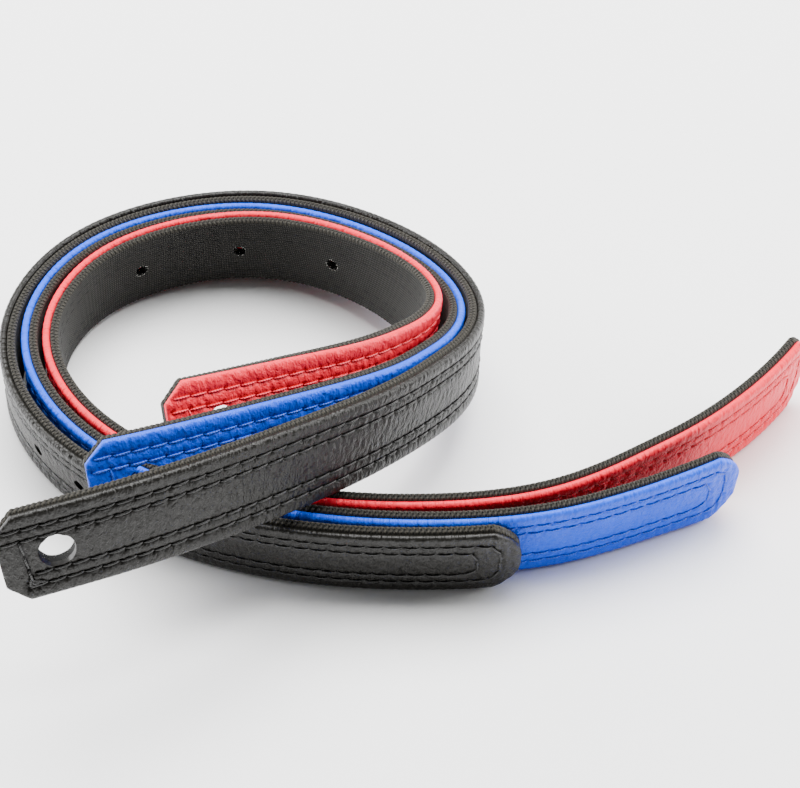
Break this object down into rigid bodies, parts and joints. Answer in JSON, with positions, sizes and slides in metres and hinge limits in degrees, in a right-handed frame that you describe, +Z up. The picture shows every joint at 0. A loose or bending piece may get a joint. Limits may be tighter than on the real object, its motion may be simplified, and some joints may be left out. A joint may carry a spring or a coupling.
{
  "type": "set of stitched webbing straps",
  "caption": "Set of flat stitched straps in black, blue and red, nested in one loose coil on edge: woven webbing with a coated facing, a fixing hole and a rounded tip.",
  "frame": {"origin": "on the floor, at the middle of the footprint of the whole set", "axes": "+Z up; +X towards the rounded tips, along the longest side of the footprint; +Y from the front crossing towards the back of the coil"},
  "size_m": [0.2137, 0.166, 0.0598],
  "materials": {
    "webbing": "woven polyester, matt",
    "black_facing": "coated fabric, satin grain",
    "blue_facing": "coated fabric, satin grain",
    "red_facing": "coated fabric, satin grain",
    "black_thread": "bonded sewing thread",
    "blue_thread": "bonded sewing thread",
    "red_thread": "bonded sewing thread",
    "bobbin_thread": "bonded sewing thread"
  },
  "bodies": {
    "root": {"black_webbing": "webbing", "black_facing": "black_facing", "black_outer_needle_thread": "black_thread", "black_inner_needle_thread": "black_thread", "black_outer_bobbin_thread": "bobbin_thread", "black_inner_bobbin_thread": "bobbin_thread", "blue_webbing": "webbing", "blue_facing": "blue_facing", "blue_outer_needle_thread": "blue_thread", "blue_inner_needle_thread": "blue_thread", "blue_outer_bobbin_thread": "bobbin_thread", "blue_inner_bobbin_thread": "bobbin_thread", "red_webbing": "webbing", "red_facing": "red_facing", "red_outer_needle_thread": "red_thread", "red_inner_needle_thread": "red_thread", "red_outer_bobbin_thread": "bobbin_thread", "red_inner_bobbin_thread": "bobbin_thread"}
  },
  "joints": []
}
